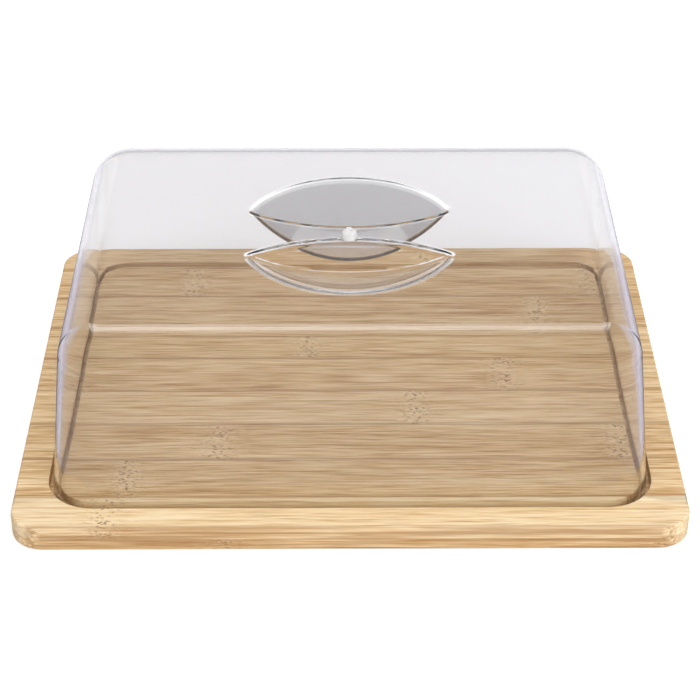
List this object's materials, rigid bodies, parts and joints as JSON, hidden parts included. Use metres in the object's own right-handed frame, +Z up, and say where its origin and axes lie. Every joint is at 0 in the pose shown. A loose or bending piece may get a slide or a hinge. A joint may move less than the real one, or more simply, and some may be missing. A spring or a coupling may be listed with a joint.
{
  "type": "cheese board with cover",
  "caption": "Rectangular laminated bamboo serving board with a milled groove that seats a lift-off clear cover with a two-well pinch grip.",
  "frame": {"origin": "middle of the board's underside", "axes": "+X along the board's long side to the right, +Y to the back, +Z up"},
  "size_m": [0.3, 0.236, 0.0951],
  "materials": {
    "bamboo": "oiled satin, fibres along the strip",
    "clear_plastic": "clear, polished"
  },
  "bodies": {
    "board": {"bottom_strip_01": "bamboo", "bottom_strip_02": "bamboo", "bottom_strip_03": "bamboo", "bottom_strip_04": "bamboo", "bottom_strip_05": "bamboo", "bottom_strip_06": "bamboo", "bottom_strip_07": "bamboo", "bottom_strip_08": "bamboo", "bottom_strip_09": "bamboo", "bottom_strip_10": "bamboo", "top_strip_01": "bamboo", "top_strip_02": "bamboo", "top_strip_03": "bamboo", "top_strip_04": "bamboo", "top_strip_05": "bamboo", "top_strip_06": "bamboo", "top_strip_07": "bamboo", "top_strip_08": "bamboo", "top_strip_09": "bamboo"},
    "cover": {"cover": "clear_plastic"}
  },
  "joints": [
    {"name": "cover_lift", "type": "slide", "parent": "board", "child": "cover", "axis": [0, 0, 1], "range_m": [0, 0.15]}
  ]
}
